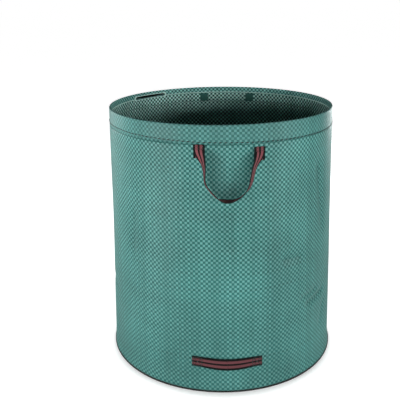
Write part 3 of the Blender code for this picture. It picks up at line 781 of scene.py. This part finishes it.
def strap(name, sections, turn, finish, body=None):
    """A length of webbing through (middle, across) sections, turned about Z, with its map and thickness."""
    steps = len(sections) - 1
    shape = bmesh.new()
    bmesh.ops.create_grid(shape, x_segments=10, y_segments=steps, size=0.5)
    runs = [0.0]
    for (first, _), (second, _) in zip(sections, sections[1:]):
        runs.append(runs[-1] + (second - first).length)
    places = {point: (point.co.x, round((point.co.y + 0.5) * steps)) for point in shape.verts}
    about = Matrix.Rotation(turn, 3, "Z")
    for point, (share, i) in places.items():
        middle, across = sections[i]
        point.co = about @ (middle + across.normalized() * share * WEBBING_WIDTH)
    webbing = shape.loops.layers.uv.new(WEBBING_MAP)
    for face in shape.faces:
        for corner in face.loops:
            share, i = places[corner.vert]
            corner[webbing].uv = ((share + 0.5) * WEBBING_WIDTH, runs[i])
    bmesh.ops.recalc_face_normals(shape, faces=shape.faces)
    piece = finish_mesh(name, shape, [finish, webbing_edge], body)
    thick = piece.modifiers.new("webbing", "SOLIDIFY")
    thick.thickness = WEBBING_THICKNESS
    thick.offset = 0.0
    thick.material_offset_rim = 1
    edge = piece.modifiers.new("selvedge", "BEVEL")
    edge.width = 0.0005
    edge.segments = 2
    edge.limit_method = "ANGLE"
    edge.angle_limit = math.radians(50)
    return piece


# A sewn end reaches from FOOT_BOTTOM to FOOT_TOP, and the webbing turns over on itself at FOLD_HEIGHT. The
# left one is sewn a little higher than the right one. Offsets are from the wall to the webbing's middle.
FOOT_BOTTOM, FOOT_TOP, FOLD_HEIGHT, LOOP_TOP = 0.664, 0.6968, 0.7000, 0.688
HALF_STRAP, SEWN_GAP, FOOT_TRIM = 0.0008, 0.0003, 0.002
FOOT_OFFSET = SEWN_GAP + HALF_STRAP
OVER_FOOT, LOOP_STANDOFF, STANDOFF_DROP = 0.0026, 0.0040, 60
LEFT_LIFT, RIGHT_LIFT = 0.0065, -0.0020
BEHIND_FOLD, BEFORE_FOLD = (0.6975, 0.6990, FOLD_HEIGHT), (FOLD_HEIGHT, 0.6970, 0.6940, 0.6910)
# The loop's line as it hangs, from its right end: how far round the rim and how far down it is in
# millimetres, and how far the webbing has twisted edge-on in degrees
LOOP_LINE = (
    (78.3, 2, 4), (75.8, 9, 16), (71.8, 17, 28), (66.8, 25.5, 41), (62, 35.5, 48), (58.3, 47, 52),
    (55, 62, 55), (52, 76, 57), (48.5, 86.5, 60), (44, 94.5, 64), (38, 102.5, 69), (31, 110.2, 72),
    (22, 117.2, 74), (11.5, 122.2, 80), (1, 124.5, 87), (-9.5, 124.7, 91), (-19, 123.1, 86),
    (-28.5, 119.2, 76), (-36.5, 112.3, 72), (-44.3, 103.3, 70), (-50.5, 95.0, 70), (-56.5, 86.5, 71),
    (-60.5, 77, 73), (-62.3, 65, 75), (-62.7, 52, 72), (-63.5, 38, 66), (-66.5, 25, 54), (-71, 12.5, 36),
    (-76, 1, 18), (-78.5, -6.5, 4),
)


def rounded(table, steps):
    """Points on the smooth curve through a table's rows, several to each row."""
    rows = [Vector(row) for row in table]
    rows = [rows[0] * 2 - rows[1]] + rows + [rows[-1] * 2 - rows[-2]]
    found = []
    for before, first, last, after in zip(rows, rows[1:], rows[2:], rows[3:]):
        for i in range(steps):
            t = i / steps
            pull = (last - before) * t + (before * 2 - first * 5 + last * 4 - after) * t**2
            found.append(first + (pull + (first * 3 - last * 3 + after - before) * t**3) / 2)
    return found + [rows[-2]]


def loop_sections():
    """A carrying loop's sections: the fold over each sewn end, and the hanging part between them."""
    middles = []
    for reach, drop, twist in rounded(LOOP_LINE, 5):
        twist, angle = math.radians(twist), reach / 1000 / RIM_RADIUS
        offset = OVER_FOOT + (LOOP_STANDOFF - OVER_FOOT) * smooth(drop / STANDOFF_DROP)
        offset += WEBBING_WIDTH / 2 * math.sin(twist) + HALF_STRAP * max(math.cos(twist), 0.0)
        middles.append((angle, twist, wall_point(angle, LOOP_TOP - drop / 1000, offset)))
    sections = []
    for i, (angle, twist, middle) in enumerate(middles):
        path = middles[min(i + 1, len(middles) - 1)][2] - middles[max(i - 1, 0)][2]
        if i in (0, len(middles) - 1):
            path = Vector((0.0, 0.0, path.z))
        flat = path.cross(outward(angle)).normalized()
        sections.append((middle, flat * math.cos(twist) + outward(angle) * math.sin(twist)))
    folds = []
    middle_offset = (FOOT_OFFSET + OVER_FOOT + HALF_STRAP) / 2
    bend = (OVER_FOOT + HALF_STRAP - FOOT_OFFSET) / 2
    for sign, lift in ((1, RIGHT_LIFT), (-1, LEFT_LIFT)):
        angle = sign * FOOT_ANGLE
        rising = [wall_point(angle, height + lift, FOOT_OFFSET) for height in BEHIND_FOLD]
        for k in range(1, 8):
            around = math.pi * (1 - k / 8)
            height = FOLD_HEIGHT + lift + bend * math.sin(around)
            rising.append(wall_point(angle, height, middle_offset + bend * math.cos(around)))
        for height in BEFORE_FOLD:
            rising.append(wall_point(angle, height + lift, OVER_FOOT + HALF_STRAP))
        folds.append([(point, along(angle) * -sign) for point in rising])
    return folds[0] + sections + folds[1][::-1]


BOX_STITCH_PITCH, BOX_STITCH_GAIN = 0.0034, 0.0012


def box_stitches(middle, side, out, width, height, thread=0.0015):
    """Stitches round an upright rectangle, and across it from corner to corner."""
    found = []
    up = Vector((0.0, 0.0, 1.0))
    corners = [(-1, -1), (1, -1), (1, 1), (-1, 1)]
    lines = [(corners[i], corners[(i + 1) % 4]) for i in range(4)]
    lines += [((-1, -1), (1, 1)), ((-1, 1), (1, -1))]
    for (a, b), (c, d) in lines:
        first = middle + side * a * width / 2 + up * b * height / 2
        last = middle + side * c * width / 2 + up * d * height / 2
        count = max(round((last - first).length / BOX_STITCH_PITCH), 1)
        for i in range(count):
            spot = first.lerp(last, (i + 0.5) / count)
            found.append((spot, last - first, BOX_STITCH_GAIN + thread, thread, out))
    return found


# The patches are filled with close, slightly wavy rows of dark green thread, which leave a ribbed face.
PATCH_ROW, PATCH_STITCH = 0.0024, 0.0030
patch_finish, tree, shader = new_finish("close_stitched_patch", {"Roughness": 0.7})
place = add_node(tree, "TexCoord")
place = add_node(tree, "SeparateXYZ", {0: place.outputs["Object"]})
rows = {0: place.outputs["Z"], 1: 2 * math.pi / PATCH_ROW}
rows = add_node(tree, "Math", rows, operation="MULTIPLY")
lean = {0: place.outputs["X"], 1: 2 * math.pi / PATCH_STITCH}
lean = add_node(tree, "Math", lean, operation="MULTIPLY")
lean = add_node(tree, "Math", {0: lean}, operation="SINE")
rows = add_node(tree, "Math", {0: lean, 1: 0.9, 2: rows}, operation="MULTIPLY_ADD")
rows = add_node(tree, "Math", {0: rows}, operation="SINE")
rows = add_node(tree, "MapRange", {"Value": rows, "From Min": -1.0})
# The patches are darker between their rows of stitches: painted shade.
two_toned(tree, shader, rows, colour("#124A42"), colour("#2C7569"), strength=0.7, depth=0.0004)
green_thread = spun_thread("dark_green_thread", "#123A34", sheen=0.15)

PATCH_SIZE, PATCH_HEIGHT, PATCH_INSET = 0.026, 0.7245, 0.0028
FOOT_BOX, FOOT_BOX_HEIGHT = (0.024, 0.0085), 0.6950
for end, turn in HANDLE_TURNS.items():
    about = Matrix.Rotation(turn, 3, "Z")
    loop = strap(f"{end}_webbing_loop", loop_sections(), turn, webbing_finish)
    middle = about @ Vector((0.0, -RIM_RADIUS, 0.0))
    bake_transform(loop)
    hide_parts(f"{end}_handle_loop")
    stitches, patch_stitches = [], []
    for side, sign, lift in (("left", -1, LEFT_LIFT), ("right", 1, RIGHT_LIFT)):
        angle = sign * FOOT_ANGLE
        heights = [FOOT_TOP + lift + (FOOT_BOTTOM + FOOT_TRIM - FOOT_TOP) * i / 12 for i in range(13)]
        sections = [(wall_point(angle, height, FOOT_OFFSET), along(angle) * -sign) for height in heights]
        foot = strap(f"{end}_{side}_webbing_end", sections, turn, webbing_finish, "rim")
        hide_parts(f"{end}_handle_{side}_end")
        beside, facing = about @ along(angle), about @ outward(angle)
        place = about @ wall_point(angle, FOOT_BOX_HEIGHT + lift, OVER_FOOT + WEBBING_THICKNESS)
        stitches += box_stitches(place, beside, facing, *FOOT_BOX)
        patch = shown_nodes[f"{end}_{side}_hem_patch"]
        patch.data.materials.clear()
        patch.data.materials.append(patch_finish)
        place = about @ wall_point(angle, PATCH_HEIGHT, -PATCH_INSET)
        patch_stitches += box_stitches(place, beside, facing, PATCH_SIZE, PATCH_SIZE)
    sewn(f"{end}_handle_stitches", stitches, dark_thread, "rim")
    sewn(f"{end}_patch_stitches", patch_stitches, green_thread, "rim")


# Tipping strap: the same webbing with a darker red, sewn flat to the foot of the wall at both ends. It is a
# little slack between them, for a hand to go behind and tip the bag out.
TIPPING_AZIMUTH = math.radians(2.7)
TIPPING_HEIGHT, TIPPING_LENGTH, TIPPING_FOOT = 0.091, 0.195, 0.030
TIPPING_BULGE, TIPPING_HALF_BOW = 0.009, 0.082
TIPPING_SLOPE, TIPPING_LEAN = 0.018, math.radians(18)
TIPPING_BOX, TIPPING_THREAD = 0.025, 0.0026
TIPPING_RADIUS = radius_at(TIPPING_HEIGHT - WEBBING_WIDTH / 2)
darker_red_webbing = striped_webbing("darker_red_striped_polypropylene_webbing", "#6B3E42")


def tipping_bow(place):
    """How far the strap stands off at a distance from its middle, as a share."""
    return max(1.0 - (place / TIPPING_HALF_BOW) ** 2, 0.0) ** 1.6


def tipping_middle(place):
    """The tipping strap's middle line, at a distance from its middle."""
    reach = math.sqrt(TIPPING_RADIUS**2 - place**2) + FOOT_OFFSET + TIPPING_BULGE * tipping_bow(place)
    return Vector((place, -reach, TIPPING_HEIGHT - TIPPING_SLOPE * place))


about = Matrix.Rotation(TIPPING_AZIMUTH, 3, "Z")
stitches = []
for side, sign, stands_for in (
    ("left", -1, ("dump_handle_left_end", "dump_handle_grip")),
    ("right", 1, ("dump_handle_right_end",)),
):
    stations = [sign * TIPPING_LENGTH / 2 * (1 - i / 40) for i in range(41)]
    leans = [TIPPING_LEAN * tipping_bow(station) for station in stations]
    sections = [
        (tipping_middle(station), Vector((0.0, sign * math.sin(lean), sign * math.cos(lean))))
        for station, lean in zip(stations, leans)
    ]
    half = strap(f"tipping_strap_{side}", sections, TIPPING_AZIMUTH, darker_red_webbing)
    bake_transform(half)
    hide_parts(*stands_for)
    place = sign * (TIPPING_LENGTH / 2 - TIPPING_FOOT / 2)
    angle = math.asin(place / TIPPING_RADIUS)
    sewn_box = box_stitches(
        tipping_middle(place), along(angle), outward(angle), TIPPING_BOX, TIPPING_BOX, TIPPING_THREAD
    )
    for spot, heading, length, width, flat in sewn_box:
        spot = Vector((spot.x, tipping_middle(spot.x).y - WEBBING_THICKNESS / 2 - 0.0002, spot.z))
        stitches.append((about @ spot, about @ heading, length, width, about @ flat))
sewn("tipping_strap_stitches", stitches, dark_thread, "base")
